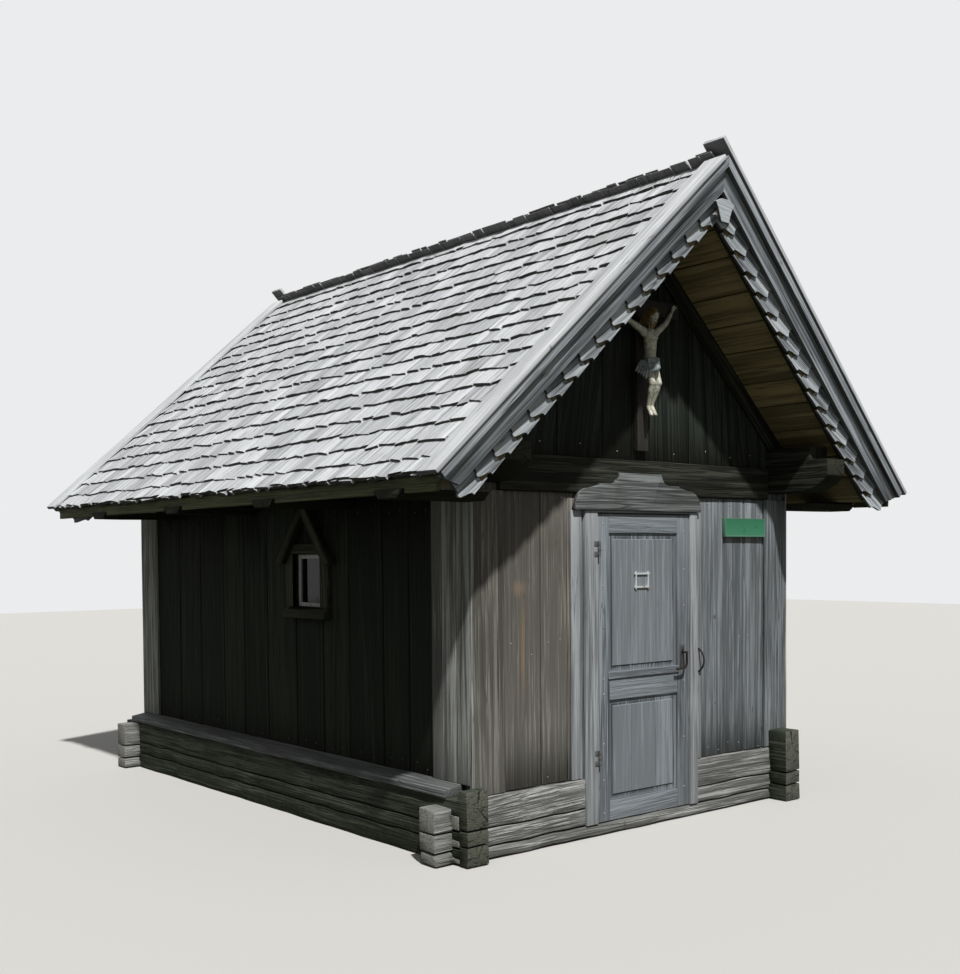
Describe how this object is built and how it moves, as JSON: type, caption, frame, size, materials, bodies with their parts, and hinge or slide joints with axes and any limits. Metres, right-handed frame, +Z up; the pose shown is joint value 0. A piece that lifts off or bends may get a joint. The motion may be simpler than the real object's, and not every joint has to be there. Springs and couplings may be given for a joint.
{
  "type": "small timber chapel",
  "caption": "Small chapel of upright boards on crossed logs, with a steep shingled gable roof, a ledged door, hooded side windows and a carved crucifix on the gable.",
  "frame": {"origin": "middle of the building's whole outline, at the ground under the base logs", "axes": "+Z up; the front with the door faces -Y; +X runs to the right seen from the front, along the front wall"},
  "size_m": [4.12, 5.2552, 4.0617],
  "materials": {
    "log": "hewn and weathered grey, cracked, not coated",
    "wall_board": "sawn boards, dark brown and grey, weathered",
    "trim_board": "planed boards, silver grey, weathered",
    "beam": "hewn timber, dark brown, weathered",
    "sheltered_board": "planed boards, warm brown, sheltered from the rain",
    "shingle": "split shingles, silver grey",
    "door_board": "planed boards with worn grey stain",
    "cross_board": "dark stained wood",
    "painted_carving": "carved wood with worn ivory paint",
    "iron": "dark wrought iron with some rust",
    "grey_iron": "iron with worn pale grey paint",
    "plate_enamel": "plain green enamel",
    "pane": "plain window glass"
  },
  "bodies": {
    "root": {"threshold_log": "log", "front_sill": "log", "back_sill": "log", "left_sill": "log", "right_sill": "log", "front_wall_left": "wall_board", "front_wall_right": "wall_board", "front_wall_over_door": "wall_board", "back_wall": "wall_board", "left_wall": "wall_board", "right_wall": "wall_board", "front_gable": "wall_board", "back_gable": "wall_board", "drip_board": "trim_board", "corner_boards": "trim_board", "fascias": "trim_board", "verge_caps": "trim_board", "bargeboards": "trim_board", "scallop_trims": "trim_board", "door_frame": "trim_board", "door_strips": "trim_board", "lintel_board": "trim_board", "window_frames": "trim_board", "window_hoods": "trim_board", "corner_posts": "beam", "tie_beams": "beam", "wall_plates": "beam", "cross_beams": "beam", "gable_rafters": "beam", "rafters": "beam", "floor": "sheltered_board", "soffit_boards": "sheltered_board", "roof_boards": "sheltered_board", "verge_laths": "sheltered_board", "shingles_left": "shingle", "shingles_right": "shingle", "cross": "cross_board", "corpus": "painted_carving", "frame_hinges": "iron", "pull_handle": "iron", "name_plate": "plate_enamel", "window_glass": "pane"},
    "door": {"door_leaf": "door_board", "door_panels": "door_board", "door_grille": "grey_iron", "lock_plate": "iron", "door_hinges": "iron"},
    "lever": {"door_lever": "iron"}
  },
  "joints": [
    {"name": "door_swing", "type": "hinge", "parent": "root", "child": "door", "pos_m": [-0.4455, -1.9951, 1], "axis": [0, 0, -1], "range_deg": [0, 110]},
    {"name": "lever_turn", "type": "hinge", "parent": "door", "child": "lever", "pos_m": [0.317, -1.9906, 1.063], "axis": [0, -1, 0], "range_deg": [0, 35], "stiffness_Nm_per_rad": 1, "springref_deg": -17.19}
  ]
}
